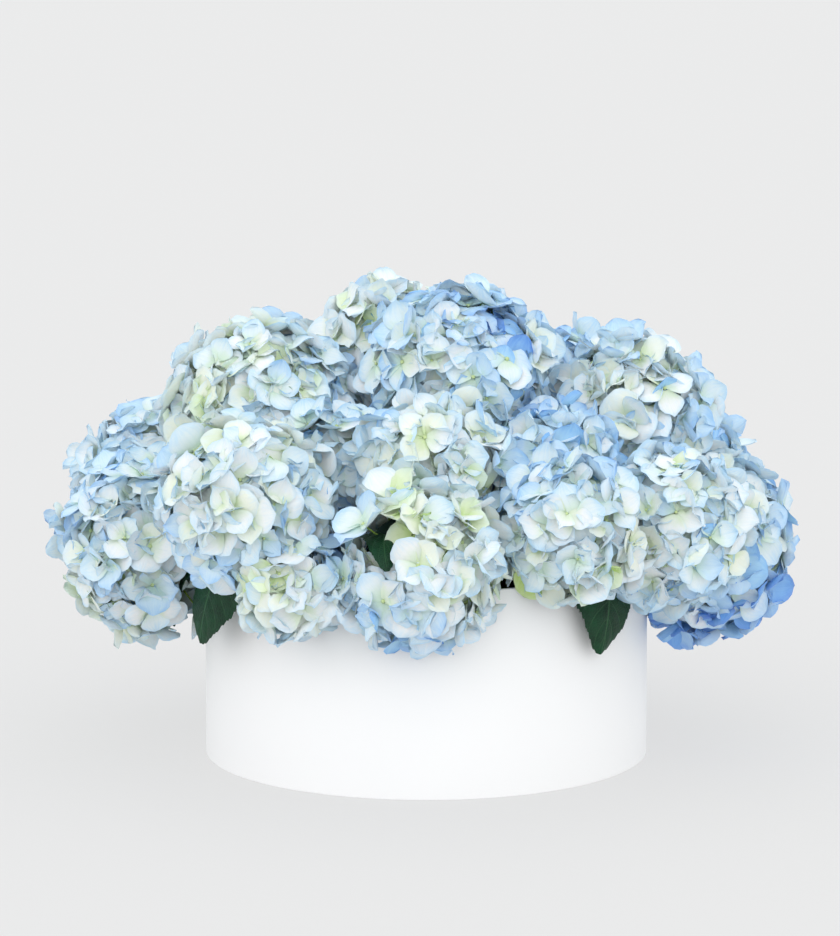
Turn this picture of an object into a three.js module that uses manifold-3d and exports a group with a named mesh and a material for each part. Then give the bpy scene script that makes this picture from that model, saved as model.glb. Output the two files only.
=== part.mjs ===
// Hydrangeas in a round box: a card box with a waterproof liner, two half rounds of wet floral foam,
// mophead blooms on their stems, and leaves pushed in between the blooms.
// Millimetres, +Z up. The origin is the middle of the box's underside, and the front faces -Y.
import * as THREE from "three";
import { mergeVertices } from "three/addons/utils/BufferGeometryUtils.js";
import Module from "manifold-3d";

const wasm = await Module();
wasm.setup();

// The box
const BOX_RADIUS = 175;
const BOX_HEIGHT = 165;
const BOARD = 3; // thickness of the card
const BOARD_BEVEL = 0.6;
const ROUND_SIDES = 48;
const KEEP_OUT_SIDES = 32;

// What is inside the box
const LINER_HEIGHT = 96;
const LINER_THICKNESS = 1;
const LINER_FOOT_RADIUS = 166;
const LINER_LIP_RADIUS = 170;
const FOAM_RADIUS = 158;
const FOAM_HEIGHT = 110;

// Stems and leaves
const STEM_RADIUS = 4;
const STEM_DEPTH = 60; // pushed into the foam
const PETIOLE_RADIUS = 1.7;
const TUBE_SIDES = 6;
const TUBE_STEPS = 4;
const LEAF_THICKNESS = 1.2;
const LEAF_ROWS = 6; // facets along a leaf
const LEAF_COLUMNS = 2; // facets across a leaf

// Clearances
const GAP = 0.4; // between pieces that touch
const FOAM_TO_BLOOM = 4; // the blooms sit this far above the foam

const INNER_RADIUS = BOX_RADIUS - BOARD;
const FOAM_FOOT = BOARD + LINER_THICKNESS + 2 * GAP;
const FOAM_TOP = FOAM_FOOT + FOAM_HEIGHT;

const COLOURS = {
  card: { color: 0xf4f5f8, roughness: 0.45, metalness: 0 },
  liner: { color: 0xdfe6e2, roughness: 0.3, metalness: 0 },
  foam: { color: 0x2f6b3c, roughness: 0.95, metalness: 0 },
  petals: { color: 0xcfe1f2, roughness: 0.6, metalness: 0 },
  stem: { color: 0x7fa35a, roughness: 0.6, metalness: 0 },
  leaf: { color: 0x16402a, roughness: 0.45, metalness: 0 },
};

// Where each bloom sits: its compass angle in degrees (0 is right, 90 is back, -90 is front), how far
// its middle is from the box's axis, the height of its middle, its radius and its ring.
const BLOOMS = [
  { name: "right", angle: 3, reach: 217, height: 166, radius: 74, ring: "rim" },
  { name: "right_front", angle: -27, reach: 210, height: 199, radius: 62, ring: "rim" },
  { name: "front_right", angle: -54, reach: 187, height: 209, radius: 58, ring: "rim" },
  { name: "front", angle: -92, reach: 185, height: 187, radius: 66, ring: "rim" },
  { name: "front_left_low", angle: -121, reach: 202, height: 170, radius: 41, ring: "rim" },
  { name: "front_left", angle: -135, reach: 196, height: 226, radius: 66, ring: "rim" },
  { name: "left", angle: 184, reach: 219, height: 170, radius: 71, ring: "rim" },
  { name: "left_back", angle: 155, reach: 234, height: 194, radius: 70, ring: "rim" },
  { name: "back_left", angle: 124, reach: 208, height: 178, radius: 75, ring: "rim" },
  { name: "back", angle: 92, reach: 200, height: 186, radius: 75, ring: "rim" },
  { name: "back_right", angle: 62, reach: 206, height: 176, radius: 74, ring: "rim" },
  { name: "right_back", angle: 27, reach: 222, height: 187, radius: 68, ring: "rim" },
  { name: "upper_right", angle: 4, reach: 162, height: 265, radius: 66, ring: "upper" },
  { name: "upper_front", angle: -88, reach: 112, height: 247, radius: 58, ring: "upper" },
  { name: "upper_front_right", angle: -37, reach: 118, height: 232, radius: 60, ring: "upper" },
  { name: "upper_front_left", angle: -138, reach: 90, height: 236, radius: 55, ring: "upper" },
  { name: "upper_left", angle: 176, reach: 130, height: 265, radius: 78, ring: "upper" },
  { name: "upper_back_right", angle: 41, reach: 136, height: 256, radius: 66, ring: "upper" },
  { name: "upper_back", angle: 97, reach: 128, height: 264, radius: 72, ring: "upper" },
  { name: "upper_back_left", angle: 137, reach: 158, height: 256, radius: 70, ring: "upper" },
  { name: "top", angle: -10, reach: 24, height: 297, radius: 77, ring: "top" },
  { name: "top_back", angle: 118, reach: 65, height: 318, radius: 50, ring: "top" },
];

// Leaves: the angle where the leaf crosses the rim, how far it swings sideways by its tip, its width,
// and its midrib as the four control points of a curve, each a distance from the axis and a height.
const HANGING = [[158, 174], [194, 196], [206, 150], [202, 108]];
const HANGING_CLOSE = [[158, 173], [188, 196], [195, 150], [188, 106]];
const OVER_THE_TOP = [[118, 150], [150, 218], [206, 232], [247, 196]];
const LEAVES = [
  { name: "front_left", angle: -145, swing: -6, width: 72, midrib: HANGING },
  { name: "front_right", angle: -40, swing: -4, width: 76, midrib: HANGING_CLOSE },
  { name: "front", angle: -101, swing: 4, width: 38, midrib: OVER_THE_TOP },
  { name: "left", angle: -168, swing: -2, width: 50, midrib: HANGING },
  { name: "right", angle: 18, swing: 3, width: 58, midrib: HANGING_CLOSE },
  { name: "back_right", angle: 47, swing: -4, width: 60, midrib: HANGING_CLOSE },
  { name: "back", angle: 106, swing: 5, width: 62, midrib: HANGING },
  { name: "back_left", angle: 137, swing: -4, width: 58, midrib: HANGING_CLOSE },
];

// A point from its compass angle, distance from the axis and height.
function around(angle, reach, height) {
  const turn = THREE.MathUtils.degToRad(angle);
  return new THREE.Vector3(reach * Math.cos(turn), reach * Math.sin(turn), height);
}

// A closed three.js geometry as a solid that can be cut and joined.
function solidOf(geometry) {
  const bare = new THREE.BufferGeometry().setAttribute("position", geometry.getAttribute("position"));
  if (geometry.index) bare.setIndex(geometry.index);
  const merged = mergeVertices(bare, 1e-3);
  return new wasm.Manifold(
    new wasm.Mesh({
      numProp: 3,
      vertProperties: new Float32Array(merged.attributes.position.array),
      triVerts: new Uint32Array(merged.index.array),
    }),
  );
}

function geometryOf(solid) {
  const mesh = solid.getMesh();
  const geometry = new THREE.BufferGeometry();
  geometry.setAttribute("position", new THREE.BufferAttribute(mesh.vertProperties, 3));
  geometry.setIndex(new THREE.BufferAttribute(mesh.triVerts, 1));
  geometry.computeVertexNormals();
  return geometry;
}

// The largest piece of a solid that a cut has left in several.
function largest(solid) {
  return solid.decompose().reduce((a, b) => (a.volume() >= b.volume() ? a : b));
}

// Turns an outline of [radius, height] points, listed anticlockwise, about the box's axis.
function revolve(outline, sides = ROUND_SIDES) {
  const profile = outline.map(([radius, height]) => new THREE.Vector2(radius, height));
  if (outline[0][0] > 0) profile.push(profile[0].clone());
  return new THREE.LatheGeometry(profile, sides).rotateX(Math.PI / 2);
}

function tube(curve, radius) {
  const rim = Array.from({ length: TUBE_SIDES }, (_, i) => {
    const turn = (2 * Math.PI * i) / TUBE_SIDES;
    return new THREE.Vector2(radius * Math.cos(turn), radius * Math.sin(turn));
  });
  return new THREE.ExtrudeGeometry(new THREE.Shape(rim), { steps: TUBE_STEPS, extrudePath: curve });
}

function boxWall() {
  const inner = INNER_RADIUS;
  const top = BOX_HEIGHT;
  return revolve([
    [inner, 0],
    [BOX_RADIUS, 0],
    [BOX_RADIUS, top - BOARD_BEVEL],
    [BOX_RADIUS - BOARD_BEVEL, top],
    [inner + BOARD_BEVEL, top],
    [inner, top - BOARD_BEVEL],
  ]);
}

function boxBase() {
  const radius = INNER_RADIUS - GAP;
  return revolve([[0, 0], [radius, 0], [radius, BOARD], [0, BOARD]]);
}

function liner() {
  const foot = BOARD + GAP;
  return revolve([
    [0, foot],
    [LINER_FOOT_RADIUS, foot],
    [LINER_LIP_RADIUS, LINER_HEIGHT],
    [LINER_LIP_RADIUS - LINER_THICKNESS, LINER_HEIGHT],
    [LINER_FOOT_RADIUS - LINER_THICKNESS, foot + LINER_THICKNESS],
    [0, foot + LINER_THICKNESS],
  ]);
}

// One half of the round of foam: side is 1 for the right half and -1 for the left.
function foamHalf(side) {
  const from = side > 0 ? -Math.PI / 2 : Math.PI / 2;
  const half = new THREE.Shape();
  half.absarc(side * GAP, 0, FOAM_RADIUS, from, from + Math.PI, false);
  half.closePath();
  const depth = FOAM_HEIGHT;
  const block = new THREE.ExtrudeGeometry(half, { depth, bevelEnabled: false, curveSegments: 20 });
  return block.translate(0, 0, FOAM_FOOT);
}

// A stem rises from the foam and bends into its bloom. The ones that lean out past the rim arch over it.
function stemCurve(bloom) {
  const { angle, reach, height, radius, ring } = bloom;
  const foot = FOAM_TOP - STEM_DEPTH;
  if (ring !== "rim")
    return new THREE.QuadraticBezierCurve3(
      around(angle, 0.5 * reach, foot),
      around(angle, 0.6 * reach, height - 1.2 * radius),
      around(angle, reach, height - 0.25 * radius),
    );
  const footReach = 116;
  const endReach = reach - 0.4 * radius;
  const endHeight = Math.max(height + 0.24 * radius, BOX_HEIGHT + 12);
  const arch = 3.2 * Math.max(0, endReach - 165);
  return new THREE.QuadraticBezierCurve3(
    around(angle, footReach, foot),
    around(angle, 0.55 * endReach + 0.45 * footReach, 0.65 * endHeight + 0.35 * foot + arch),
    around(angle, endReach, endHeight),
  );
}

// How far a bloom reaches in one direction: its own lumpy ball, flattened where it meets each neighbour.
function bloomReach(bloom, direction) {
  const wave = 5.2;
  const lumps =
    Math.sin(wave * direction.x + bloom.angle) *
    Math.sin(wave * direction.y + bloom.height) *
    Math.sin(wave * direction.z + bloom.reach);
  let limit = bloom.radius * (0.97 + 0.03 * lumps);
  for (const other of BLOOMS) {
    if (other === bloom) continue;
    const apart = middleOf(other).sub(middleOf(bloom));
    const distance = apart.length();
    const share = direction.dot(apart) / distance;
    if (share <= 0) continue;
    const wall = (distance ** 2 + bloom.radius ** 2 - other.radius ** 2) / (2 * distance) - GAP;
    limit = Math.min(limit, wall / share);
  }
  return limit;
}

function middleOf(bloom) {
  return around(bloom.angle, bloom.reach, bloom.height);
}

function bloomBall(bloom) {
  const ball = new THREE.IcosahedronGeometry(1, 3);
  const place = ball.getAttribute("position");
  const point = new THREE.Vector3();
  for (let i = 0; i < place.count; i++) {
    point.fromBufferAttribute(place, i).normalize();
    point.multiplyScalar(bloomReach(bloom, point)).add(middleOf(bloom));
    place.setXYZ(i, point.x, point.y, point.z);
  }
  return ball;
}

// The space that the blooms stay out of: the card wall, and the box's inside up to just above the foam.
function keepOut() {
  const low = FOAM_TOP + FOAM_TO_BLOOM;
  const high = BOX_HEIGHT + GAP;
  const outside = (BOX_RADIUS + GAP) / Math.cos(Math.PI / KEEP_OUT_SIDES);
  const inside = INNER_RADIUS - GAP;
  const outline = [[0, -1], [outside, -1], [outside, high], [inside, high], [inside, low], [0, low]];
  return revolve(outline, KEEP_OUT_SIDES);
}

// The leaf's midrib at t, from 0 at its base to 1 at its tip.
function midribPoint(leaf, t) {
  const [a, b, c, d] = leaf.midrib.map(([reach, height]) => new THREE.Vector2(reach, height));
  const at = new THREE.CubicBezierCurve(a, b, c, d).getPoint(t);
  return around(leaf.angle + leaf.swing * t * t, at.x, at.y);
}

// Half the leaf's width at t: round near the base and drawn out to a point.
function leafHalfWidth(leaf, t) {
  return 0.5 * leaf.width * Math.sin(Math.PI * Math.pow(t, 0.9)) ** 0.75 + 0.8;
}

// The blade as a closed thin sheet whose halves fold down a little from the midrib.
function leafBlade(leaf, grow) {
  const half = LEAF_THICKNESS / 2 + grow;
  const across = LEAF_COLUMNS + 1;
  const across2 = 2 * across;
  const points = [];
  const step = 0.01;
  for (let row = 0; row <= LEAF_ROWS; row++) {
    const t = row / LEAF_ROWS;
    const middle = midribPoint(leaf, t);
    const along = midribPoint(leaf, t + step).sub(midribPoint(leaf, t - step)).normalize();
    const side = around(leaf.angle + leaf.swing * t * t + 90, 1, 0);
    side.addScaledVector(along, -side.dot(along)).normalize();
    const up = new THREE.Vector3().crossVectors(side, along).negate();
    for (const face of [1, -1])
      for (let column = 0; column < across; column++) {
        const u = (2 * column) / LEAF_COLUMNS - 1;
        const wide = (leafHalfWidth(leaf, t) + grow) * u;
        const fold = -0.16 * Math.abs(wide);
        points.push(middle.clone().addScaledVector(side, wide).addScaledVector(up, fold + face * half));
      }
  }
  const faces = [];
  const quad = (a, b, c, d) => faces.push(a, c, b, a, d, c);
  for (let row = 0; row < LEAF_ROWS; row++) {
    const here = row * across2;
    const next = here + across2;
    for (let column = 0; column < LEAF_COLUMNS; column++) {
      quad(here + column, here + column + 1, next + column + 1, next + column);
      const low = across + column;
      quad(here + low, next + low, next + low + 1, here + low + 1);
    }
    quad(here, next, next + across, here + across);
    const last = across - 1;
    quad(here + last, here + last + across, next + last + across, next + last);
  }
  const tip = LEAF_ROWS * across2;
  for (let column = 0; column < LEAF_COLUMNS; column++) {
    quad(column, across + column, across + column + 1, column + 1);
    quad(tip + column, tip + column + 1, tip + across + column + 1, tip + across + column);
  }
  const blade = new THREE.BufferGeometry().setFromPoints(points);
  blade.setIndex(faces);
  return blade;
}

// The leaf stalk runs from the foam up to the blade's base.
function petioleCurve(leaf) {
  const base = midribPoint(leaf, 0.06);
  const [reach, height] = leaf.midrib[0];
  return new THREE.QuadraticBezierCurve3(
    around(leaf.angle, Math.min(reach - 10, 146), FOAM_TOP - 30),
    around(leaf.angle, reach - 12, height - 15),
    base,
  );
}

function stem(bloom, grow = 0) {
  return tube(stemCurve(bloom), STEM_RADIUS + grow);
}

function leafSolid(leaf, grow = 0) {
  return solidOf(leafBlade(leaf, grow)).add(solidOf(tube(petioleCurve(leaf), PETIOLE_RADIUS + grow)));
}

const hydrangeas = new THREE.Group();

function place(name, geometry, finish) {
  const mesh = new THREE.Mesh(geometry, new THREE.MeshStandardMaterial(COLOURS[finish]));
  mesh.name = name;
  hydrangeas.add(mesh);
}

place("box_wall", boxWall(), "card");
place("box_base", boxBase(), "card");
place("liner", liner(), "liner");

const cutters = [
  ...BLOOMS.map((bloom) => solidOf(stem(bloom, 2 * GAP))),
  ...LEAVES.map((leaf) => leafSolid(leaf, GAP)),
];
const cutBy = (solid, tools) => largest(tools.reduce((left, tool) => left.subtract(tool), solid));

place("foam_left", geometryOf(cutBy(solidOf(foamHalf(-1)), cutters)), "foam");
place("foam_right", geometryOf(cutBy(solidOf(foamHalf(1)), cutters)), "foam");

const boxSpace = solidOf(keepOut());
for (const bloom of BLOOMS) {
  const ball = cutBy(solidOf(bloomBall(bloom)), [boxSpace, ...cutters]);
  place("bloom_" + bloom.name, geometryOf(ball), "petals");
  place("stem_" + bloom.name, stem(bloom), "stem");
}
for (const leaf of LEAVES) place("leaf_" + leaf.name, geometryOf(leafSolid(leaf)), "leaf");

export default hydrangeas;
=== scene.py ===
import math

import bmesh
import bpy
import numpy as np
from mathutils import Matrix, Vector, noise
from mathutils.bvhtree import BVHTree


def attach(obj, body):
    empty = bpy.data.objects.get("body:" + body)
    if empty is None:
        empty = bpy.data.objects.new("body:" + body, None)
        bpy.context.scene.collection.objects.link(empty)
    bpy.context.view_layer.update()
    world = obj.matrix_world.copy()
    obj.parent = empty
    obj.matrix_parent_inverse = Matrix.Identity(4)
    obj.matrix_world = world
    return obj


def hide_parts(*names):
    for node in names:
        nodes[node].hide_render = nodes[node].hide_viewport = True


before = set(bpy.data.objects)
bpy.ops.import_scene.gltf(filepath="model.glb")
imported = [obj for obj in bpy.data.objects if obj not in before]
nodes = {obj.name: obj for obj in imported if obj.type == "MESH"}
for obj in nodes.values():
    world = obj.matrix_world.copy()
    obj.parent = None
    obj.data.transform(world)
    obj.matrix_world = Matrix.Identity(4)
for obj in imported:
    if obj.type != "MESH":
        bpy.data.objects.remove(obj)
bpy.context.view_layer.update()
print("frame loaded:", len(nodes), "nodes")

studio = {
    "target": (-0.005, 0, 0.228),
    "distance": 6.0,
    "elevation": 11.0,
    "lens": 292.0,
    "sky": 1.17,
    "skyTint": (0.978, 0.992, 1.0),
    "sun": 0.85,
    "sunFrom": (-6, 14),  # degrees to the left of the front, and above the floor
    "sunSpread": 90,
    "floorRadius": 11,
    "floorSweep": 1.5,
}


def clearSelection():
    if bpy.context.object and bpy.context.object.mode != "OBJECT":
        bpy.ops.object.mode_set(mode="OBJECT")
    bpy.ops.object.select_all(action="DESELECT")


def setUpCamera(settings):
    tilt = math.radians(settings["elevation"])
    target = Vector(settings["target"])
    back = Vector((0, -math.cos(tilt), math.sin(tilt))) * settings["distance"]
    bpy.ops.object.camera_add(location=target + back, rotation=(math.pi / 2 - tilt, 0, 0))
    camera = bpy.context.object
    camera.data.lens = settings["lens"]
    camera.data.sensor_width = 36
    camera.data.sensor_fit = "AUTO"
    camera.data.dof.use_dof = False
    camera.data.clip_end = 60
    bpy.context.scene.camera = camera


def setUpLight(settings):
    side, height = (math.radians(angle) for angle in settings["sunFrom"])
    turn = (math.pi / 2 - height, 0, side)
    bpy.ops.object.light_add(type="SUN", location=(-1, -2, 2), rotation=turn)
    sun = bpy.context.object
    sun.data.energy = settings["sun"]
    sun.data.angle = math.radians(settings["sunSpread"])
    world = bpy.data.worlds.new("studio")
    world.use_nodes = True
    sky = world.node_tree.nodes["Background"]
    sky.inputs["Color"].default_value = (*settings["skyTint"], 1)
    sky.inputs["Strength"].default_value = settings["sky"]
    bpy.context.scene.world = world
    bpy.context.scene.view_settings.view_transform = "Standard"


def setUpFloor(settings):
    radius = settings["floorRadius"]
    bpy.ops.mesh.primitive_circle_add(vertices=96, radius=radius, fill_type="NGON")
    floor = bpy.context.object
    floor.name = "floor"
    bpy.ops.object.mode_set(mode="EDIT")
    for step in range(1, 9):  # the edge sweeps up into a low wall all round
        turn = math.radians(11 * step - 5.5)
        rise = settings["floorSweep"] * math.sin(turn) * math.radians(11)
        out = settings["floorSweep"] * math.cos(turn) * math.radians(11)
        bpy.ops.mesh.select_all(action="SELECT")
        bpy.ops.mesh.select_mode(type="EDGE")
        shape = bmesh.from_edit_mesh(floor.data)
        for edge in shape.edges:
            edge.select_set(edge.is_boundary)
        bmesh.update_edit_mesh(floor.data)
        bpy.ops.mesh.extrude_edges_move(TRANSFORM_OT_translate={"value": (0, 0, rise)})
        radius += out
        grow = radius / (radius - out)
        bpy.ops.transform.resize(value=(grow, grow, 1), center_override=(0, 0, 0))
    bpy.ops.mesh.extrude_edges_move(TRANSFORM_OT_translate={"value": (0, 0, 0.6)})
    bpy.ops.mesh.select_mode(type="VERT")
    bpy.ops.object.mode_set(mode="OBJECT")
    bpy.ops.object.shade_smooth()
    return floor


clearSelection()
setUpCamera(studio)
setUpLight(studio)
floor = setUpFloor(studio)
print("camera, light and floor set up")


# An output of a material's node, so that its maths can be written as an expression
class Wire:
    def __init__(self, finish, socket):
        self.finish = finish
        self.socket = socket

    def maths(self, operation, *values):
        return self.finish.node("ShaderNodeMath", {"operation": operation}, dict(enumerate(values)))

    def __add__(self, other):
        return self.maths("ADD", self, other)

    __radd__ = __add__

    def __sub__(self, other):
        return self.maths("SUBTRACT", self, other)

    def __rsub__(self, other):
        return self.maths("SUBTRACT", other, self)

    def __mul__(self, other):
        return self.maths("MULTIPLY", self, other)

    __rmul__ = __mul__

    def __truediv__(self, other):
        return self.maths("DIVIDE", self, other)

    def __pow__(self, other):
        return self.maths("POWER", self, other)

    def __gt__(self, other):
        return self.maths("GREATER_THAN", self, other)

    def __abs__(self):
        return self.maths("ABSOLUTE", self)

    def __floor__(self):
        return self.maths("FLOOR", self)

    def most(self, other):
        return self.maths("MAXIMUM", self, other)

    def wave(self):
        return self.maths("SINE", self)

    def ease(self, start, end):
        sockets = {"Value": self, "From Min": start, "From Max": end}
        return self.finish.node("ShaderNodeMapRange", {"interpolation_type": "SMOOTHSTEP"}, sockets)


class Finish:
    def __init__(self, name, roughness=0.5, specular=0.5, **constants):
        self.material = bpy.data.materials.new(name)
        self.material.use_nodes = True
        self.tree = self.material.node_tree
        self.shader = self.tree.nodes["Principled BSDF"]
        self.shader.inputs["Roughness"].default_value = roughness
        self.shader.inputs["Specular IOR Level"].default_value = specular
        for socket, value in constants.items():
            self.shader.inputs[socket.replace("_", " ")].default_value = value

    def node(self, kind, settings, sockets, output=0):
        made = self.tree.nodes.new(kind)
        for name, value in settings.items():
            if name == "stops":
                ramp = made.color_ramp
                while len(ramp.elements) < len(value):
                    ramp.elements.new(0.5)
                for element, (place, colour) in zip(ramp.elements, value):
                    element.position = place
                    element.color = colour
            elif name == "steps":
                made.color_ramp.interpolation = value
            else:
                setattr(made, name, value)
        for name, value in sockets.items():
            if isinstance(value, Wire):
                self.tree.links.new(value.socket, made.inputs[name])
            else:
                made.inputs[name].default_value = value
        return Wire(self, made.outputs[output])

    def mix(self, share, first, second, how="MIX"):
        settings = {"data_type": "RGBA", "blend_type": how, "clamp_factor": True}
        return self.node("ShaderNodeMix", settings, {0: share, 6: first, 7: second}, 2)

    def ramp(self, place, stops, steps="LINEAR"):
        return self.node("ShaderNodeValToRGB", {"stops": stops, "steps": steps}, {"Fac": place})

    def place(self):
        return self.node("ShaderNodeTexCoord", {}, {}, "Object")

    def noise(self, vector, scale, detail=2.0, roughness=0.5):
        sockets = {"Vector": vector, "Scale": scale, "Detail": detail, "Roughness": roughness}
        return self.node("ShaderNodeTexNoise", {}, sockets)

    def cells(self, vector, scale, feature="F1", output="Distance"):
        sockets = {"Vector": vector, "Scale": scale}
        return self.node("ShaderNodeTexVoronoi", {"feature": feature}, sockets, output)

    def split(self, vector):
        made = self.tree.nodes.new("ShaderNodeSeparateXYZ")
        self.tree.links.new(vector.socket, made.inputs[0])
        return [Wire(self, output) for output in made.outputs]

    def join(self, x, y, z=0.0):
        return self.node("ShaderNodeCombineXYZ", {}, {0: x, 1: y, 2: z})

    def feed(self, socket, wire):
        self.tree.links.new(wire.socket, self.shader.inputs[socket])

    def bump(self, height, distance, strength=1.0):
        sockets = {"Height": height, "Distance": distance, "Strength": strength}
        self.feed("Normal", self.node("ShaderNodeBump", {}, sockets))


def rgb(code):
    parts = [int(code[i : i + 2], 16) / 255 for i in (1, 3, 5)]
    return (*(v / 12.92 if v <= 0.04045 else ((v + 0.055) / 1.055) ** 2.4 for v in parts), 1.0)


# Each family of sepals is coloured at its base, over its blade and round its edge
petalColours = {
    "green": ("#a2c24e", "#c5df82", "#dbedb5"),
    "creamGreen": ("#bcd87c", "#e3f0cc", "#e2f3ea"),
    "cream": ("#cee4a6", "#f1f6e6", "#daeef7"),
    "white": ("#d8eac6", "#f3f6f6", "#cbe7fa"),
    "paleBlue": ("#d1e9cc", "#e6f3f7", "#b5defb"),
    "softBlue": ("#c9e4d2", "#d3eafa", "#9dcefb"),
    "midBlue": ("#badee7", "#b1daf9", "#7db9f6"),
    "deepBlue": ("#9dc6ea", "#8dbdf3", "#5b92e6"),
}
plainColours = {
    "stalk": "#87a650",
    # the dark middle of each bloom: near-black painted shade for the gaps deep among the florets, where
    # the real bloom has green branching
    "shadeCore": "#17302a",
    "bead": "#cadba0",
    "blueBead": "#86ade0",
}
families = list(petalColours)
plains = list(plainColours)
atlas = {"cells": 8, "variants": 7, "margin": 0.06}


def petalFinish():
    paint = Finish(
        "petals",
        roughness=0.66,
        specular=0.14,
        Subsurface_Weight=0.15,
        Subsurface_Radius=(0.8, 0.9, 1.0),
        Subsurface_Scale=0.004,
    )
    u, v, _ = paint.split(paint.node("ShaderNodeUVMap", {"uv_map": "OFBake"}, {}))
    many = atlas["cells"]
    column, row = u * many, v * many
    columnAt, rowAt = math.floor(column), math.floor(row)
    span = 1 - 2 * atlas["margin"]
    across = (column - columnAt - 0.5) * (2 / span)  # -1 to 1 from side to side
    along = (row - rowAt - atlas["margin"]) / span  # 0 at the base and 1 at the tip
    familyAt = (columnAt + 0.5) / many
    stops = [[(i / many, rgb(c[part])) for i, c in enumerate(petalColours.values())] for part in range(3)]
    base, blade, edge = (paint.ramp(familyAt, part, "CONSTANT") for part in stops)
    cell = paint.join(columnAt, rowAt)
    chance = paint.node("ShaderNodeTexWhiteNoise", {"noise_dimensions": "2D"}, {"Vector": cell})
    cloud = paint.noise(paint.join(u, v), 26.0, 3.0)
    wide = abs(across)
    streak = paint.noise(paint.join(column * 16, row * 1.6), 1.0, 2.0)
    rim = wide ** 2.4 * 0.5 + along.most(0) ** 2.2 * 0.85 + (cloud - 0.5) * 0.8 + (streak - 0.5) * 0.7
    rim = rim.ease(0.15, 1.1)
    rim = rim * (0.5 + 0.6 * chance)
    heart = 1 - (along + (cloud - 0.5) * 0.5).ease(0.04, 0.6)
    colour = paint.mix(rim, blade, edge)
    colour = paint.mix(heart * (0.55 + 0.4 * chance), colour, base)
    # fine veins run from the base to the tip, following the outline
    bent = across * (1 + 0.12 * (cloud - 0.5))
    vein = 1 - abs((bent * (math.pi * 3.5)).wave()).ease(0.0, 0.42)
    vein = vein.most(1 - wide.ease(0.0, 0.07)) * (1 - wide.ease(0.75, 1.0)) * (1 - along.ease(0.8, 1.0))
    colour = paint.mix(vein * 0.1, colour, paint.mix(0.5, edge, rgb("#ffffff")), "MULTIPLY")
    lift = paint.mix(chance.ease(0.55, 1.0) * 0.22, colour, rgb("#f0f5f8"))
    plainStops = [(i / many, rgb(c)) for i, c in enumerate(plainColours.values())]
    plain = paint.ramp(familyAt, plainStops, "CONSTANT")
    paint.feed("Base Color", paint.mix(rowAt > atlas["variants"] - 0.5, lift, plain))
    paint.bump(vein * -0.5 + cloud * 0.5 + streak * 0.4, 0.0003, 0.4)
    return paint.material


def pick(test):
    shape = bmesh.from_edit_mesh(bpy.context.object.data)
    for vertex in shape.verts:
        vertex.select_set(bool(test(vertex)))
    shape.select_flush_mode()
    bmesh.update_edit_mesh(bpy.context.object.data)


def shift(test, *offset):
    pick(test)
    bpy.ops.transform.translate(value=offset)


def near(value, wanted):
    return abs(value - wanted) < 0.01


sepal = {
    "thickness": 0.022,
    "across": 4,
    "outline": (0.2, 0.62, 0.98, 1.16, 1.12, 0.86, 0.46),  # width at each row, base to tip
    # cup lifts the sides, bend curls the tip up or down, ripple waves the edge, slim narrows it all,
    # point narrows the tip and crease folds it along the middle
    "shapes": [
        {"cup": 0.02, "bend": 0.08, "ripple": 0.04, "slim": 1.0, "point": 0.1, "crease": 0.02},
        {"cup": 0.12, "bend": 0.14, "ripple": -0.05, "slim": 1.02, "point": 0.35, "crease": 0.04},
        {"cup": 0.04, "bend": -0.2, "ripple": 0.09, "slim": 0.98, "point": 0.5, "crease": 0.05},
        {"cup": -0.06, "bend": -0.1, "ripple": -0.1, "slim": 1.08, "point": 0.0, "crease": -0.03},
        {"cup": 0.2, "bend": 0.02, "ripple": 0.06, "slim": 0.86, "point": 0.6, "crease": 0.06},
        {"cup": 0.08, "bend": 0.28, "ripple": 0.05, "slim": 0.94, "point": 0.2, "crease": 0.0},
        {"cup": -0.02, "bend": -0.3, "ripple": -0.12, "slim": 1.0, "point": 0.45, "crease": 0.05},
        {"cup": 0.1, "bend": -0.04, "ripple": 0.14, "slim": 0.9, "point": 0.3, "crease": 0.07},
    ],
}
# Sepals under the outer layer are only glimpsed, and have fewer faces
underSepal = {
    "thickness": 0.022,
    "across": 2,
    "outline": (0.24, 0.98, 1.2, 0.6),
    "shapes": [
        {"cup": 0.06, "bend": 0.12, "ripple": 0.03, "slim": 1.0, "point": 0.2, "crease": 0.03},
        {"cup": 0.12, "bend": -0.14, "ripple": -0.04, "slim": 0.94, "point": 0.4, "crease": 0.02},
    ],
}


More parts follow.
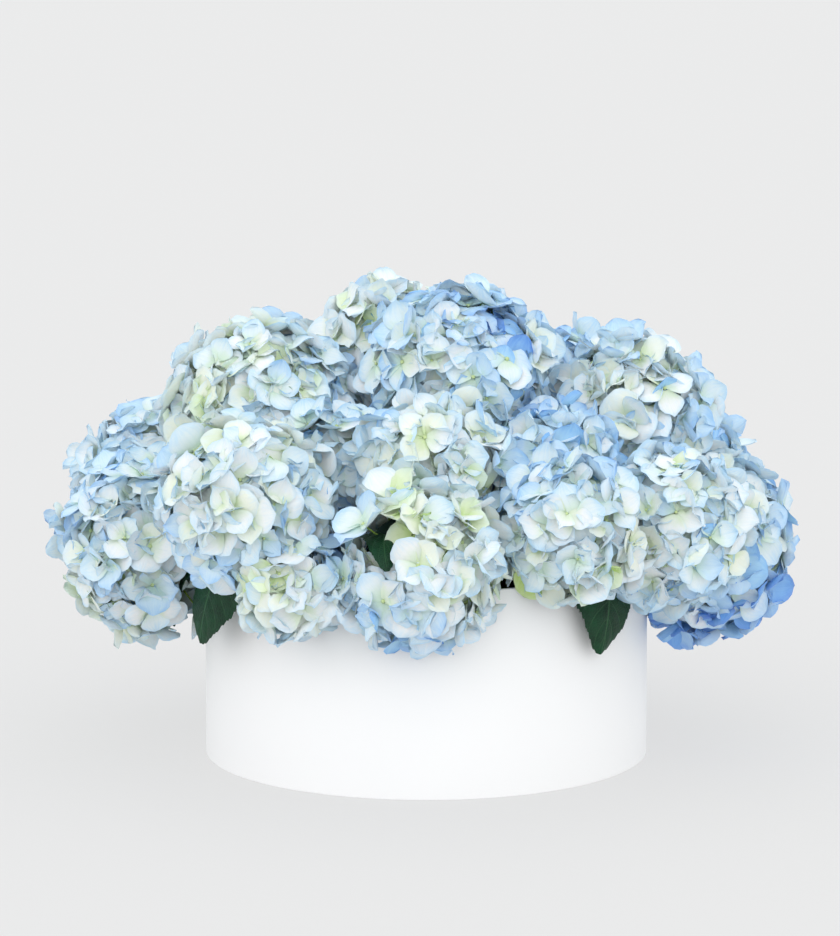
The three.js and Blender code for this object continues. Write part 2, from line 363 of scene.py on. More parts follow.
def modelSepal(shape, settings, seed):
    clearSelection()
    columns, rows = settings["across"], len(settings["outline"]) - 1
    bpy.ops.mesh.primitive_grid_add(x_subdivisions=columns, y_subdivisions=rows, size=1, calc_uvs=True)
    blade = bpy.context.object
    bpy.ops.object.mode_set(mode="EDIT")
    shift(lambda v: near(abs(v.co.x), 0.5), 0, 0, shape["cup"])
    shift(lambda v: near(abs(v.co.x), 0.25), 0, 0, shape["cup"] * 0.3)
    shift(lambda v: near(v.co.x, 0) and v.co.y > -0.3, 0, 0, -shape["crease"])
    shift(lambda v: near(v.co.y, 0.5) and abs(v.co.x) > 0.4, 0, -0.07, 0)
    shift(lambda v: near(v.co.y, 0.5) and near(v.co.x, 0), 0, 0.05, 0)
    reach = 0.45 / rows
    for row, width in enumerate(settings["outline"]):
        low, t = row / rows - 0.5, row / rows
        pick(lambda v: abs(v.co.y - low) < reach)
        width *= shape["slim"] * (1 - shape["point"] * t**5)
        bpy.ops.transform.resize(value=(width, 1, 1), center_override=(0, 0, 0))
        bpy.ops.transform.translate(value=(0, 0, shape["bend"] * t * t))
        right, left = math.sin(5.2 * t + seed), math.sin(5.8 * t + 2.1 * seed + 2)
        wave, rim = shape["ripple"] * t, 0.3 * width
        shift(lambda v: abs(v.co.y - low) < reach and v.co.x > rim, 0, 0, wave * right)
        shift(lambda v: abs(v.co.y - low) < reach and v.co.x < -rim, 0, 0, wave * left)
    bpy.ops.mesh.select_all(action="SELECT")
    bpy.ops.transform.vertex_random(offset=0.014, seed=seed)
    if columns > 2:
        bpy.ops.mesh.vertices_smooth(factor=0.25)
    bpy.ops.transform.translate(value=(0, 0.5, 0))
    # the underside is a copy of the top, joined to it all round the edge
    bpy.ops.mesh.duplicate()
    bpy.ops.mesh.flip_normals()
    shift(lambda v: v.select and not v.is_boundary, 0, 0, -settings["thickness"])
    bpy.ops.mesh.select_all(action="SELECT")
    bpy.ops.mesh.remove_doubles(threshold=0.0005)
    bpy.ops.object.mode_set(mode="OBJECT")
    return takeMould(blade)


def modelBead():
    clearSelection()
    bpy.ops.mesh.primitive_ico_sphere_add(subdivisions=1, radius=1, calc_uvs=True)
    bpy.ops.object.mode_set(mode="EDIT")
    pick(lambda v: v.co.z > 0.9)
    bpy.ops.transform.translate(value=(0, 0, -0.25))
    bpy.ops.object.mode_set(mode="OBJECT")
    return takeMould(bpy.context.object)


def modelStalk():
    clearSelection()
    bpy.ops.mesh.primitive_cylinder_add(
        vertices=5, radius=1, depth=0.4, location=(0, 0, 0.2), calc_uvs=True
    )
    bpy.ops.object.transform_apply()
    bpy.ops.object.mode_set(mode="EDIT")
    bpy.ops.mesh.select_mode(type="FACE")
    shape = bmesh.from_edit_mesh(bpy.context.object.data)
    for face in shape.faces:
        face.select_set(face.normal.z > 0.9)
    bmesh.update_edit_mesh(bpy.context.object.data)
    bpy.ops.mesh.extrude_region_move(TRANSFORM_OT_translate={"value": (0.6, 0.3, 0.6)})
    bpy.ops.transform.resize(value=(0.7, 0.7, 1), center_override=(0.6, 0.3, 1.0))
    bpy.ops.mesh.select_mode(type="VERT")
    bpy.ops.object.mode_set(mode="OBJECT")
    return takeMould(bpy.context.object)


# A mould holds a small mesh's points, corners and map, ready to be copied many times
def takeMould(made):
    mesh = made.data
    points = np.empty(len(mesh.vertices) * 3)
    mesh.vertices.foreach_get("co", points)
    corners = np.empty(len(mesh.loops), int)
    mesh.loops.foreach_get("vertex_index", corners)
    sides = np.empty(len(mesh.polygons), int)
    mesh.polygons.foreach_get("loop_total", sides)
    spots = np.empty(len(mesh.loops) * 2)
    mesh.uv_layers[0].data.foreach_get("uv", spots)
    bpy.data.objects.remove(made)
    points, spots = points.reshape(-1, 3), spots.reshape(-1, 2)
    return {"points": points, "corners": corners, "sides": sides, "spots": spots}


moulds = {"bead": modelBead(), "stalk": modelStalk()}
for number, shape in enumerate(sepal["shapes"]):
    moulds["sepal" + str(number)] = modelSepal(shape, sepal, number)
for number, shape in enumerate(underSepal["shapes"]):
    moulds["underSepal" + str(number)] = modelSepal(shape, underSepal, number)
print("moulds:", {name: len(mould["sides"]) for name, mould in moulds.items()})


# Presses every copy of every mould into one mesh. copies holds (mould, 3x4 placing, column, row).
def pressCopies(name, copies, extra=()):
    points, corners, sides, spots = [], [], [], []
    start = 0
    many, margin = atlas["cells"], atlas["margin"]
    for mouldName in sorted({copy[0] for copy in copies}):
        mould = moulds[mouldName]
        chosen = [copy for copy in copies if copy[0] == mouldName]
        placing = np.array([copy[1] for copy in chosen])
        cell = np.array([copy[2:4] for copy in chosen], float)
        placed = np.einsum("nij,vj->nvi", placing[:, :, :3], mould["points"]) + placing[:, None, :, 3]
        count, each = placed.shape[:2]
        points.append(placed.reshape(-1, 3))
        shifts = start + each * np.arange(count)
        corners.append((mould["corners"][None] + shifts[:, None]).ravel())
        sides.append(np.tile(mould["sides"], count))
        inside = margin + (1 - 2 * margin) * mould["spots"]
        spots.append(((cell[:, None] + inside[None]) / many).reshape(-1, 2))
        start += count * each
    for mould, column, row in extra:
        points.append(mould["points"])
        corners.append(mould["corners"] + start)
        sides.append(mould["sides"])
        inside = margin + (1 - 2 * margin) * mould["spots"]
        spots.append((np.array([column, row]) + inside) / many)
        start += len(mould["points"])
    return buildMesh(name, *(np.concatenate(part) for part in (points, corners, sides, spots)))


def buildMesh(name, points, corners, sides, spots):
    mesh = bpy.data.meshes.new(name)
    mesh.vertices.add(len(points))
    mesh.loops.add(len(corners))
    mesh.polygons.add(len(sides))
    mesh.vertices.foreach_set("co", points.ravel())
    mesh.loops.foreach_set("vertex_index", corners)
    mesh.polygons.foreach_set("loop_start", np.concatenate([[0], np.cumsum(sides)[:-1]]))
    mesh.update(calc_edges=True)
    layer = mesh.uv_layers.new(name="OFBake")
    layer.data.foreach_set("uv", spots.ravel())
    mesh.validate()
    return mesh


boxRadius, boxHeight, foamTop = 0.175, 0.165, 0.1148

# Each bloom: angle, reach, height and radius as the frame has them (degrees and mm), its tone on a scale
# from green (0) through cream and white to deep blue (7), and its tone towards one side of it
blooms = {
    "right": (3, 217, 166, 74, 3.8, 5.6, (0.1, -0.1, -1)),
    "right_front": (-27, 210, 199, 62, 3.0, 3.8, (0.2, 0, -1)),
    "front_right": (-54, 187, 209, 58, 2.9, 4.2, (-0.8, -0.1, 0.8)),
    "front": (-92, 185, 187, 66, 2.6, 4.0, (-0.9, -0.1, -0.9)),
    "front_left_low": (-121, 202, 170, 41, 2.6, 3.9, (0.9, -0.2, 0.1)),
    "front_left": (-135, 196, 226, 66, 2.9, 3.8, (-0.5, 0, -1)),
    "left": (184, 219, 170, 71, 2.7, 4.0, (0, 0, 1)),
    "left_back": (155, 234, 194, 70, 3.0, 4.3, (0, -0.2, 1)),
    "back_left": (124, 208, 178, 75, 4.0, 4.8, (0, 1, -1)),
    "back": (92, 200, 186, 75, 3.1, 4.4, (1, 0, 0.5)),
    "back_right": (62, 206, 176, 74, 4.6, 5.6, (0, 0, -1)),
    "right_back": (27, 222, 187, 68, 3.8, 4.8, (0.2, 0, 1)),
    "upper_right": (4, 162, 265, 66, 2.9, 4.1, (1, 0, -0.4)),
    "upper_front": (-88, 112, 247, 58, 3.8, 3.0, (0.1, -0.5, 1)),
    "upper_front_right": (-37, 118, 232, 60, 4.6, 4.0, (1, 0, 0)),
    "upper_front_left": (-138, 90, 236, 55, 4.4, 4.0, (0, 0, 1)),
    "upper_left": (176, 130, 265, 78, 2.7, 3.9, (1, 0, -0.3)),
    "upper_back_right": (41, 136, 256, 66, 4.6, 5.0, (0, 1, 0)),
    "upper_back": (97, 128, 264, 72, 3.4, 4.6, (0, 1, -0.5)),
    "upper_back_left": (137, 158, 256, 70, 4.0, 5.0, (-1, 0, 0)),
    "top": (-10, 24, 297, 77, 3.8, 4.7, (0.5, 0, 0.3)),
    "top_back": (118, 65, 318, 50, 2.7, 4.0, (0, 0, -1)),
}

bloomMaking = {
    "spacing": 0.0198,  # between florets of the outer layer
    "underSpacing": 0.027,
    "size": 0.0238,  # length of one sepal
    "inset": 0.009,
    "underInset": 0.021,
    "tilt": 0.31,  # how far florets turn away from the bloom's surface
    "shadeCore": 0.66,  # the dark middle's share of the bloom's reach; the middle is painted near-black as painted shade deep among the florets
    "squeeze": 0.013,  # florets pressed in further than this by a neighbour are left out
    "leafClearance": 0.0105,
    "boxClearance": 0.006,
    "sunkShare": 0.22,  # share of the outer florets that sit deeper, and how far
    "sunkBy": 0.008,
    "greenShadeShare": 0.65,  # share of the under layer that is greener, and how much: partly the greener inner florets, partly painted green-tinted shade in the hollows
    "greenShadeTone": -2.2,
    "greenShare": 0.14,
    "youngShare": 0.08,  # young florets are smaller and less open
    "youngSize": 0.78,
    "youngLift": 0.4,
    "ruffledShare": 0.18,
    "ruffledLift": 0.42,
    "underSize": 0.88,
}


def around(angle, reach, height):
    turn = math.radians(angle)
    return np.array([reach * math.cos(turn), reach * math.sin(turn), height])


centres = {name: around(*facts[:3]) / 1000 for name, facts in blooms.items()}
radii = {name: facts[3] / 1000 for name, facts in blooms.items()}


# How far a bloom reaches in some directions, by itself and where its neighbours press on it
def bloomReach(name, directions):
    angle, reach, height, radius = blooms[name][:4]
    x, y, z = directions.T
    lumps = np.sin(5.2 * x + angle) * np.sin(5.2 * y + height) * np.sin(5.2 * z + reach)
    alone = radii[name] * (0.97 + 0.03 * lumps)
    pressed = alone.copy()
    for other in blooms:
        if other == name:
            continue
        apart = centres[other] - centres[name]
        distance = np.linalg.norm(apart)
        share = directions @ apart / distance
        wall = (distance**2 + radii[name] ** 2 - radii[other] ** 2) / (2 * distance)
        towards = np.minimum(pressed, wall / np.maximum(share, 1e-6))
        pressed = np.where(share > 1e-6, towards, pressed)
    return alone, pressed


def spread(count, turn):
    step = np.arange(count) + 0.5
    height = 1 - 2 * step / count
    angle = math.pi * (1 + 5**0.5) * step + turn
    level = np.sqrt(1 - height**2)
    return np.stack([level * np.cos(angle), level * np.sin(angle), height], axis=1)


coneDirections = spread(40, 0.3)


# True where light and sight reach a place from outside the bouquet
def isOpen(places, normals, name):
    escapes = np.zeros(len(places))
    for direction in coneDirections:
        facing = normals @ direction > 0.5
        blocked = np.zeros(len(places), bool)
        for other in blooms:
            toCentre = centres[other] - places
            ahead = toCentre @ direction
            gap = np.linalg.norm(toCentre - ahead[:, None] * direction, axis=1)
            radius = radii[other] * (0.9 if other != name else 0.8)
            blocked |= (ahead > 0) & (gap < radius)
        escapes += facing & ~blocked
    return escapes >= 1


def unit(vectors):
    return vectors / np.linalg.norm(vectors, axis=-1, keepdims=True)


def turned(axis, angle):
    x, y, z = axis
    c, s = math.cos(angle), math.sin(angle)
    cross = np.array([[0, -z, y], [z, 0, -x], [-y, x, 0]])
    return np.eye(3) * c + s * cross + (1 - c) * np.outer(axis, axis)


# The tone of a floret drifts smoothly over the bloom, as a patch of it opens together
def toneAt(place, direction, main, accent, side, rng):
    share = min(max(0.5 + 1.2 * (direction @ side - 0.2), 0.0), 1.0)
    patch = noise.noise(Vector(place) * 27.0) * 1.5 + noise.noise(Vector(place) * 70.0) * 0.9
    return main + (accent - main) * share + patch + rng.normal() * 0.5


leafTree = None  # filled in once the leaves are made

floretMaking = {
    "fiveShare": 0.07,  # share of florets with five sepals, where the others have four
    "turnNoise": 0.1,  # radians, as are the next three
    "liftNoise": 0.11,
    "liftStep": 0.1,  # every second sepal stands higher than the first
    "swayNoise": 0.16,
    "toneNoise": 0.55,
    "claw": 0.0012,  # from the middle of a floret to the foot of a sepal
    "bead": (0.0013, 0.0019),
    "stalk": 0.0008,
}


def addFloret(copies, rng, place, normal, centre, size, openness, tone, under):
    making = floretMaking
    aside = unit(np.cross(normal, rng.normal(size=3)))
    framing = np.stack([aside, np.cross(normal, aside), normal], axis=1)
    count = 5 if rng.random() < making["fiveShare"] else 4
    roll = rng.random() * math.tau
    for k in range(count):
        turn = roll + math.tau * k / count + rng.normal() * making["turnNoise"]
        lift = openness + rng.normal() * making["liftNoise"] + (making["liftStep"] if k % 2 else 0)
        sway = rng.normal() * making["swayNoise"]
        pose = turned((0, 0, 1), turn) @ turned((1, 0, 0), lift) @ turned((0, 1, 0), sway)
        length = size * rng.uniform(0.88, 1.1)
        width = length * rng.uniform(0.92, 1.12)
        matrix = framing @ pose @ np.diag([width, length, length])
        claw = framing @ pose @ np.array([0, making["claw"], 0])
        family = round(tone + rng.normal() * making["toneNoise"])
        column = int(min(max(family, 0), len(families) - 1))
        variant = rng.integers(atlas["variants"])
        mould = "sepal" + str(rng.integers(len(sepal["shapes"])))
        if under:
            mould = "underSepal" + str(rng.integers(len(underSepal["shapes"])))
        copies.append((mould, np.column_stack([matrix, place + claw]), column, variant))
    bead = rng.uniform(*making["bead"]) * (size / 0.0235) ** 0.5
    beadCell = plains.index("blueBead" if tone > 4.6 and rng.random() < 0.5 else "bead")
    beadPlacing = np.column_stack([framing * bead, place + normal * 0.0012])
    copies.append(("bead", beadPlacing, beadCell, atlas["variants"]))
    foot = centre + (place - centre) * 0.55
    lean = unit(place - foot)
    aside = unit(np.cross(lean, (0.3, 0.5, 0.8)))
    length = np.linalg.norm(place - foot)
    thin = making["stalk"]
    stalk = np.stack([aside * thin, np.cross(lean, aside) * thin, lean * length], axis=1)
    copies.append(("stalk", np.column_stack([stalk, foot]), plains.index("stalk"), atlas["variants"]))


# The dark middle of a bloom, a lumpy ball under its florets, stands for the green branching inside and is
# painted near-black as painted shade
def makeCore(name):
    clearSelection()
    bpy.ops.mesh.primitive_ico_sphere_add(subdivisions=3, radius=1, calc_uvs=True)
    mould = takeMould(bpy.context.object)
    directions = unit(mould["points"])
    _, pressed = bloomReach(name, directions)
    x, y, z = directions.T * 9
    lumps = 1 + 0.06 * np.sin(x + 2 * y) * np.sin(y - 1.5 * z) * np.sin(z + 1.3 * x)
    mould["points"] = centres[name] + directions * (pressed * lumps * bloomMaking["shadeCore"])[:, None]
    return mould


def pushOffBox(mesh):
    points = np.empty(len(mesh.vertices) * 3)
    mesh.vertices.foreach_get("co", points)
    points = points.reshape(-1, 3)
    level = np.linalg.norm(points[:, :2], axis=1)
    rest = boxRadius + 0.002
    pushed = rest + 0.1 * (np.clip(level, 0.16, rest) - rest)
    touching = (points[:, 2] < boxHeight + 0.001) & (level < rest) & (level > 0.13)
    points[touching, :2] *= (pushed / np.maximum(level, 1e-9))[touching, None]
    mesh.vertices.foreach_set("co", points.ravel())
    mesh.update()


def makeBloom(name, number, finish):
    rng = np.random.default_rng(100 + number)
    centre, radius = centres[name], radii[name]
    main, accent, side = blooms[name][4:]
    side = unit(np.array(side, float))
    making = bloomMaking
    copies = []
    for layer, (spacing, inset) in enumerate(
        [(making["spacing"], making["inset"]), (making["underSpacing"], making["underInset"])]
    ):
        count = int(4 * math.pi * radius**2 / (0.866 * spacing**2))
        scatter = rng.normal(size=(count, 3)) * 0.22 * spacing / radius
        directions = unit(spread(count, number + layer) + scatter)
        alone, pressed = bloomReach(name, directions)
        depth = inset + rng.uniform(-0.005, 0.006, count)
        depth += making["sunkBy"] * (rng.random(count) < making["sunkShare"]) * (layer == 0)
        places = centre + directions * (pressed - depth)[:, None]
        turning = rng.normal(size=(count, 3)) * making["tilt"] * 0.6
        normals = unit(directions + turning + np.array([0, 0, 0.08]))
        level = np.linalg.norm(places[:, :2], axis=1)
        clear = making["boxClearance"]
        inBox = (level < boxRadius + clear) & (places[:, 2] < boxHeight + clear + 0.001)
        fits = (alone - pressed < making["squeeze"]) & ~inBox
        fits &= isOpen(places, directions, name)
        for index in np.flatnonzero(fits):
            place, normal = places[index], normals[index]
            if leafTree.find_nearest(Vector(place), making["leafClearance"])[0] is not None:
                continue
            tone = toneAt(place, directions[index], main, accent, side, rng)
            if layer:
                # under florets turn greener: partly their own colour, partly painted shade for the
                # hollows
                tone += making["greenShadeTone"] if rng.random() < making["greenShadeShare"] else 0.4
                if rng.random() < making["greenShare"]:
                    tone = 0.3
            young = tone < 1.6 or rng.random() < making["youngShare"]
            size = making["size"] * rng.uniform(0.84, 1.1) * (making["youngSize"] if young else 1)
            size *= making["underSize"] if layer else 1
            ruffled = making["ruffledLift"] if rng.random() < making["ruffledShare"] else 0
            openness = rng.normal(0.16, 0.15) + (making["youngLift"] if young else ruffled) + 0.15 * layer
            addFloret(copies, rng, place, normal, centre, size, openness, tone, layer == 1)
    # the dark middle goes in under the florets as painted shade
    shadeCore = [(makeCore(name), plains.index("shadeCore"), atlas["variants"])]
    mesh = pressCopies("mophead_" + name, copies, shadeCore)
    pushOffBox(mesh)
    mesh.materials.append(finish)
    bloom = bpy.data.objects.new("mophead_" + name, mesh)
    bpy.context.collection.objects.link(bloom)
    clearSelection()
    bloom.select_set(True)
    bpy.context.view_layer.objects.active = bloom
    bpy.ops.object.shade_smooth_by_angle(angle=math.radians(70))
    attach(bloom, "root")
    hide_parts("bloom_" + name)
    return sum(copy[0] == "bead" for copy in copies), len(mesh.polygons)


# Midribs as the frame has them: distance from the axis and height of four points, from base to tip
hanging = ((158, 174), (194, 196), (206, 150), (202, 108))
hangingClose = ((158, 173), (188, 196), (195, 150), (188, 106))
overTheTop = ((118, 150), (150, 218), (206, 232), (247, 196))
leaves = {  # angle, swing of the tip, width and midrib, as the frame has them
    "front_left": (-145, -6, 72, hanging),
    "front_right": (-40, -4, 76, hangingClose),
    "front": (-101, 4, 38, overTheTop),
    "left": (-168, -2, 50, hanging),
    "right": (18, 3, 58, hangingClose),
    "back_right": (47, -4, 60, hangingClose),
    "back": (106, 5, 62, hanging),
    "back_left": (137, -4, 58, hangingClose),
}
leafMaking = {
    "rows": 72,
    "columns": 20,
    "teeth": 24,
    "veins": 9,
    "thickness": 0.0009,
    "stalk": 0.0016,
    "fold": 0.16,  # how far the sides droop from the midrib, as a share of the half width
    "swell": 0.0013,  # of the panels between the veins
    "ripple": 0.0016,
    "toothReach": 0.0022,
}


def bezier(points, t):
    points = [np.asarray(point, float) for point in points]
    while len(points) > 1:
        points = [a + (b - a) * t for a, b in zip(points, points[1:])]
    return points[0]


def midrib(leaf, t):
    angle, swing, _, curve = leaf
    reach, height = bezier(curve, t)
    return around(angle + swing * t * t, reach, height) / 1000


def leafFrame(leaf, t):
    angle, swing = leaf[:2]
    along = unit(midrib(leaf, t + 0.01) - midrib(leaf, t - 0.01))
    side = around(angle + swing * t * t + 90, 1, 0)
    side = unit(side - along * (side @ along))
    return midrib(leaf, t), side, np.cross(along, side), along


def makeLeaf(name, number, finish):
    leaf, making = leaves[name], leafMaking
    clearSelection()
    bpy.ops.mesh.primitive_grid_add(
        x_subdivisions=making["columns"], y_subdivisions=making["rows"], size=1, calc_uvs=True
    )
    blade = bpy.context.object
    blade.name = "foliage_" + name
    for vertex in blade.data.vertices:
        u, t = 2 * vertex.co.x, vertex.co.y + 0.5
        wide = abs(u)
        middle, side, up, along = leafFrame(leaf, t)
        half = (0.5 * leaf[2] * math.sin(math.pi * min(t, 0.999) ** 0.9) ** 0.75 + 0.4) / 1000
        tooth = (t * making["teeth"]) % 1.0
        half *= 1 + (0.055 * tooth - 0.03) * (wide**6) * math.sin(math.pi * t)
        rib = (t - 0.2 * wide) * making["veins"]
        swell = abs(math.sin(math.pi * rib)) ** 0.7 * (1 - wide**3) * min(1, 4 * wide)
        ripple = math.sin(2.6 * math.tau * t + number) * wide**2 * making["ripple"]
        panel = making["swell"] * swell * math.sin(math.pi * t) ** 0.5
        lift = -making["fold"] * half * wide + panel + ripple
        forward = making["toothReach"] * tooth * wide**8
        place = middle + side * half * u + up * lift + along * forward
        vertex.co = place
    bpy.ops.object.mode_set(mode="EDIT")
    bpy.ops.mesh.select_all(action="SELECT")
    bpy.ops.mesh.normals_make_consistent(inside=False)
    bpy.ops.object.mode_set(mode="OBJECT")
    up = leafFrame(leaf, 0.5)[2]
    if blade.data.polygons[len(blade.data.polygons) // 2].normal.dot(Vector(up)) < 0:
        blade.data.flip_normals()
    bpy.ops.object.modifier_add(type="SOLIDIFY")
    blade.modifiers[0].thickness = making["thickness"]
    blade.modifiers[0].offset = 0
    bpy.ops.object.modifier_apply(modifier=blade.modifiers[0].name)
    addPetiole(blade, leaf, making)
    blade.data.materials.append(finish)
    bpy.ops.object.shade_smooth_by_angle(angle=math.radians(50))
    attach(blade, "root")
    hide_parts("leaf_" + name)
    return blade


def bendAlong(thing, curve, thickness):
    mesh = thing.data
    for vertex in mesh.vertices:
        t = min(max(vertex.co.z, 0.0), 1.0)
        along = unit(bezier(curve, min(t + 0.01, 1)) - bezier(curve, max(t - 0.01, 0)))
        side = unit(np.cross(along, (0.02, 0.01, 1)) + 1e-6)
        spot = bezier(curve, t) / 1000 + side * vertex.co.x * thickness
        vertex.co = spot + np.cross(along, side) * vertex.co.y * thickness
    mesh.update()


def addPetiole(blade, leaf, making):
    reach, height = leaf[3][0]
    curve = [
        around(leaf[0], min(reach - 10, 146), 1000 * foamTop - 30),
        around(leaf[0], reach - 12, height - 15),
        midrib(leaf, 0.05) * 1000,
        midrib(leaf, 0.16) * 1000,
    ]
    petiole = copyOf(stemShape)
    bendAlong(petiole, curve, making["stalk"])
    petiole.select_set(True)
    blade.select_set(True)
    bpy.context.view_layer.objects.active = blade
    bpy.ops.object.join()


def leafFinish():
    paint = Finish("leaf", roughness=0.5, specular=0.22)
    u, v, _ = paint.split(paint.node("ShaderNodeUVMap", {"uv_map": "UVMap"}, {}))
    wide = abs(u * 2 - 1)
    rib = (v - 0.2 * wide) * leafMaking["veins"]
    side = 1 - abs((rib * math.pi).wave()).ease(0.0, 0.2)
    middle = 1 - wide.ease(0.01, 0.05)
    vein = (side * (1 - wide.ease(0.7, 1.0)) * 0.7).most(middle)
    place = paint.place()
    net = paint.cells(place, 420.0, "DISTANCE_TO_EDGE")
    cloud = paint.noise(place, 60.0, 4.0)
    colour = paint.ramp(cloud, [(0.3, rgb("#0b2c1c")), (0.7, rgb("#164329"))])
    colour = paint.mix(net.ease(0.0, 0.12) * 0.3 + 0.7, rgb("#245737"), colour)
    colour = paint.mix(vein * 0.4, colour, rgb("#4a7a52"))
    paint.feed("Base Color", colour)
    paint.feed("Roughness", 0.42 + 0.2 * cloud)
    paint.bump(net.ease(0.0, 0.3) * 0.5 + cloud * 0.3 - vein * 0.7, 0.0005, 0.6)
    return paint.material


stemMaking = {
    "rings": 22,
    "sides": 14,
    "radius": 0.0036,
    "swelling": 1.22,  # where leaves were taken off
    "swellingsAt": (7, 15),
    "depth": 60,  # mm, pushed into the foam
}


def modelStemShape(settings):
    clearSelection()
    step = 1 / settings["rings"]
    bpy.ops.mesh.primitive_circle_add(
        vertices=settings["sides"], radius=1, fill_type="NGON", calc_uvs=True
    )
    made = bpy.context.object
    made.name = "stemShape"
    bpy.ops.object.mode_set(mode="EDIT")
    bpy.ops.mesh.select_all(action="SELECT")
    for ring in range(1, settings["rings"] + 1):
        bpy.ops.mesh.extrude_region_move(TRANSFORM_OT_translate={"value": (0, 0, step)})
        if ring in settings["swellingsAt"]:
            grow = settings["swelling"]
            bpy.ops.transform.resize(value=(grow, grow, 1), center_override=(0, 0, ring * step))
        if ring - 1 in settings["swellingsAt"]:
            shrink = 0.98 / settings["swelling"]
            bpy.ops.transform.resize(value=(shrink, shrink, 1), center_override=(0, 0, ring * step))
    bpy.ops.mesh.select_all(action="SELECT")
    bpy.ops.mesh.normals_make_consistent(inside=False)
    bpy.ops.object.mode_set(mode="OBJECT")
    return made


def copyOf(thing):
    clearSelection()
    made = thing.copy()
    made.data = thing.data.copy()
    bpy.context.collection.objects.link(made)
    return made


def stemCurve(name):
    angle, reach, height, radius = blooms[name][:4]
    foot = 1000 * foamTop - stemMaking["depth"]
    if name.startswith(("upper", "top")):
        return [
            around(angle, 0.5 * reach, foot),
            around(angle, 0.6 * reach, height - 1.2 * radius),
            around(angle, reach, height - 0.25 * radius),
        ]
    footReach = 116
    endReach = reach - 0.4 * radius
    endHeight = max(height + 0.24 * radius, 1000 * boxHeight + 12)
    arch = 3.2 * max(0, endReach - 165)
    return [
        around(angle, footReach, foot),
        around(angle, 0.55 * endReach + 0.45 * footReach, 0.65 * endHeight + 0.35 * foot + arch),
        around(angle, endReach, endHeight),
    ]


def makeStem(name, finish):
    stem = copyOf(stemShape)
    stem.name = "stalk_" + name
    bendAlong(stem, stemCurve(name), stemMaking["radius"])
    stem.data.materials.append(finish)
    stem.select_set(True)
    bpy.context.view_layer.objects.active = stem
    bpy.ops.object.shade_smooth_by_angle(angle=math.radians(50))
    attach(stem, "root")
    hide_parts("stem_" + name)


def stemFinish():
    paint = Finish("stem", roughness=0.5, specular=0.4)
    place = paint.place()
    x, y, z = paint.split(place)
    streak = paint.noise(paint.join(x * 600, y * 600, z * 60), 1.0, 3.0)
    spot = 1 - paint.cells(place, 300.0).ease(0.12, 0.2)
    colour = paint.ramp(streak, [(0.3, rgb("#6d9348")), (0.7, rgb("#93b368"))])
    colour = paint.mix(spot * 0.6, colour, rgb("#5d4a3a"))
    paint.feed("Base Color", colour)
    paint.bump(streak + spot * 0.5, 0.0003, 0.5)
    return paint.material


box = {"sides": 224, "board": 0.003, "rim": 0.0008, "seam": 0.016}


def makeBoxWall(settings, finish):
    clearSelection()
    bpy.ops.mesh.primitive_cylinder_add(
        vertices=settings["sides"], radius=boxRadius, depth=boxHeight, location=(0, 0, boxHeight / 2)
    )
    wall = bpy.context.object
    wall.name = "card_wall"
    bpy.ops.object.transform_apply()
    bpy.ops.object.mode_set(mode="EDIT")
    bpy.ops.mesh.select_mode(type="FACE")
    shape = bmesh.from_edit_mesh(wall.data)
    for face in shape.faces:
        face.select_set(abs(face.normal.z) > 0.9)
    bmesh.update_edit_mesh(wall.data)
    bpy.ops.mesh.inset(thickness=settings["board"], use_individual=True)
    bpy.ops.mesh.delete(type="FACE")
    bpy.ops.mesh.select_mode(type="EDGE")
    shape = bmesh.from_edit_mesh(wall.data)
    for edge in shape.edges:
        edge.select_set(edge.is_boundary)
    bmesh.update_edit_mesh(wall.data)
    bpy.ops.mesh.bridge_edge_loops()
    # the rim and the foot are rounded by the paper that is turned over them
    shape = bmesh.from_edit_mesh(wall.data)
    for edge in shape.edges:
        level = abs(edge.verts[0].co.z - edge.verts[1].co.z) < 1e-6
        ends = len({round(v.co.xy.length, 5) for v in edge.verts}) == 1
        edge.select_set(level and ends)
    bmesh.update_edit_mesh(wall.data)
    bpy.ops.mesh.bevel(offset=settings["rim"], segments=3, profile=0.5)
    bpy.ops.mesh.select_all(action="SELECT")
    bpy.ops.mesh.normals_make_consistent(inside=False)
    bpy.ops.mesh.select_mode(type="VERT")
    bpy.ops.object.mode_set(mode="OBJECT")
    finishPiece(wall, finish, "card", "box_wall")


def makeSeam(settings, finish):
    clearSelection()
    bpy.ops.mesh.primitive_grid_add(x_subdivisions=16, y_subdivisions=8, size=1)
    seam = bpy.context.object
    seam.name = "paper_overlap"
    width, height = settings["seam"], boxHeight - 0.0016
    for vertex in seam.data.vertices:
        turn = math.pi / 2 - vertex.co.x * width / boxRadius
        edge = 0.00012 + 0.0002 * (1 - abs(2 * vertex.co.x) ** 8)
        reach = boxRadius + edge
        vertex.co = (reach * math.cos(turn), reach * math.sin(turn), boxHeight / 2 + vertex.co.y * height)
    bpy.ops.object.modifier_add(type="SOLIDIFY")
    seam.modifiers[0].thickness = 0.00025
    bpy.ops.object.modifier_apply(modifier=seam.modifiers[0].name)
    bpy.ops.object.mode_set(mode="EDIT")
    bpy.ops.mesh.select_all(action="SELECT")
    bpy.ops.mesh.normals_make_consistent(inside=False)
    bpy.ops.object.mode_set(mode="OBJECT")
    finishPiece(seam, finish, "card")


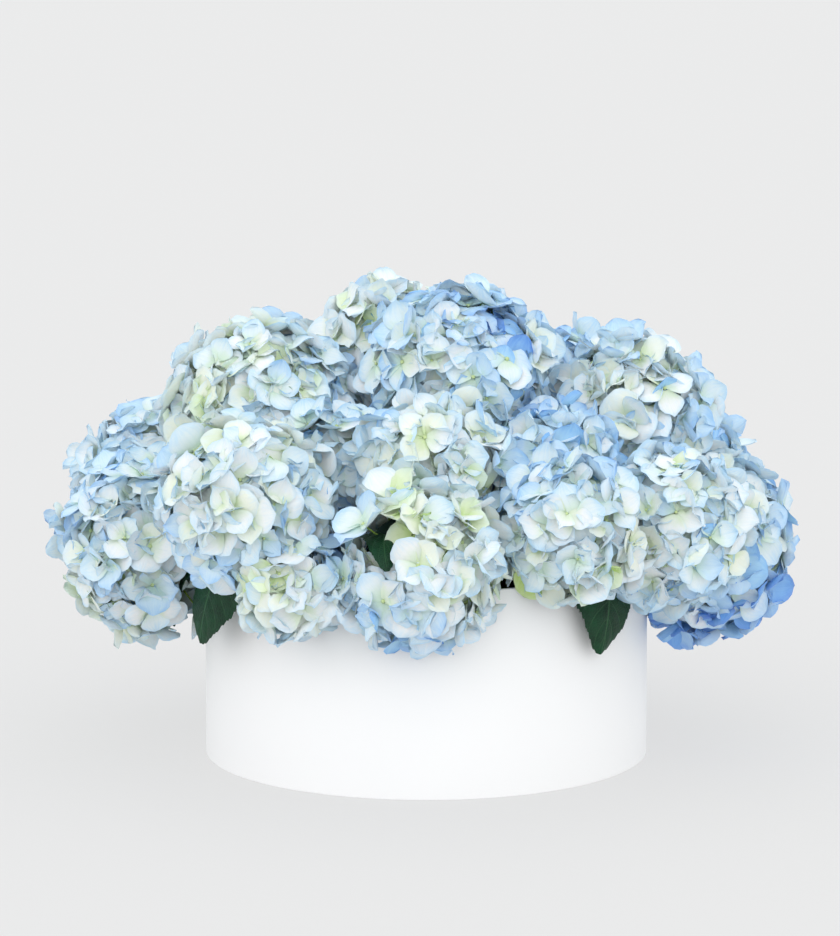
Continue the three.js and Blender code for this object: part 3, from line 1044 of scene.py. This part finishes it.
def makeBase(settings, finish):
    clearSelection()
    radius, thick = boxRadius - settings["board"] - 0.0004, settings["board"]
    bpy.ops.mesh.primitive_cylinder_add(
        vertices=settings["sides"], radius=radius, depth=thick, location=(0, 0, thick / 2)
    )
    base = bpy.context.object
    base.name = "card_base"
    bpy.ops.object.transform_apply()
    bpy.ops.object.mode_set(mode="EDIT")
    bpy.ops.mesh.select_mode(type="FACE")
    shape = bmesh.from_edit_mesh(base.data)
    for face in shape.faces:
        face.select_set(abs(face.normal.z) > 0.9)
    bmesh.update_edit_mesh(base.data)
    bpy.ops.mesh.inset(thickness=0.012, use_individual=True)
    bpy.ops.mesh.inset(thickness=0.0006, depth=-0.0003, use_individual=True)
    bpy.ops.mesh.select_mode(type="VERT")
    bpy.ops.object.mode_set(mode="OBJECT")
    finishPiece(base, finish, "card", "box_base")


def finishPiece(piece, finish, slot, *replaced):
    piece.data.materials.clear()
    piece.data.materials.append(finish)
    bpy.context.view_layer.objects.active = piece
    piece.select_set(True)
    bpy.ops.object.shade_smooth_by_angle(angle=math.radians(40))
    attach(piece, "root")
    if replaced:
        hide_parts(*replaced)


def cardFinish():
    paint = Finish("card", roughness=0.42, specular=0.4, Coat_Weight=0.1, Coat_Roughness=0.25)
    place = paint.place()
    fibre = paint.noise(place, 900.0, 4.0)
    cloud = paint.noise(place, 9.0, 2.0)
    level = paint.split(place)[2]
    scuff = (1 - level.ease(0.0, 0.0022)) * cloud.ease(0.35, 0.75)
    colour = paint.mix(cloud, rgb("#f8f8f9"), rgb("#fcfcfc"))
    colour = paint.mix(scuff * 0.25, colour, rgb("#d8d6d0"))
    paint.feed("Base Color", colour)
    paint.feed("Roughness", 0.38 + 0.1 * fibre)
    paint.bump(fibre, 0.00006, 0.35)
    return paint.material


def linerFinish():
    paint = Finish("liner", roughness=0.25, specular=0.5)
    cloud = paint.noise(paint.place(), 40.0, 3.0)
    paint.feed("Base Color", paint.ramp(cloud, [(0.3, rgb("#cfd8d4")), (0.7, rgb("#e3e9e6"))]))
    paint.bump(paint.noise(paint.place(), 18.0, 2.0), 0.0012, 0.6)
    return paint.material


def foamFinish():
    paint = Finish("foam", roughness=0.9, specular=0.25)
    place = paint.place()
    pores = paint.cells(place, 900.0)
    cloud = paint.noise(place, 45.0, 4.0)
    colour = paint.ramp(cloud, [(0.3, rgb("#1f4a2b")), (0.7, rgb("#2f6a3c"))])
    colour = paint.mix(pores.ease(0.1, 0.5), rgb("#12301b"), colour)
    paint.feed("Base Color", colour)
    paint.bump(pores + cloud * 0.5, 0.0008, 0.8)
    return paint.material


def floorFinish():
    paint = Finish("floor", roughness=0.95, specular=0.0, Emission_Strength=0.565)
    paint.shader.inputs["Emission Color"].default_value = (1, 1, 1, 1)
    cloud = paint.noise(paint.place(), 0.6, 2.0)
    paint.feed("Base Color", paint.mix(cloud, rgb("#7f7f7f"), rgb("#818181")))
    return paint.material


floor.data.materials.append(floorFinish())
card = cardFinish()
makeBoxWall(box, card)
makeSeam(box, card)
makeBase(box, card)
linerPaint, foamPaint = linerFinish(), foamFinish()
for name, node in nodes.items():
    if name == "liner" or name.startswith("foam"):
        node.data.materials.clear()
        node.data.materials.append(linerPaint if name == "liner" else foamPaint)
print("box, liner and foam done")

stemShape = modelStemShape(stemMaking)
leafPaint, stemPaint = leafFinish(), stemFinish()
made = [makeLeaf(name, number, leafPaint) for number, name in enumerate(leaves)]
points, faces = [], []
for leaf in made:
    first = len(points)
    points += [vertex.co.copy() for vertex in leaf.data.vertices]
    faces += [[first + v for v in face.vertices] for face in leaf.data.polygons]
leafTree = BVHTree.FromPolygons(points, faces)
print("leaves done:", len(made))

for name in blooms:
    makeStem(name, stemPaint)
bpy.data.objects.remove(stemShape)
print("stems done")

petals = petalFinish()
florets = polygons = 0
for number, name in enumerate(blooms):
    some, more = makeBloom(name, number, petals)
    florets, polygons = florets + some, polygons + more
print("blooms done:", florets, "florets,", polygons, "faces")

clearSelection()
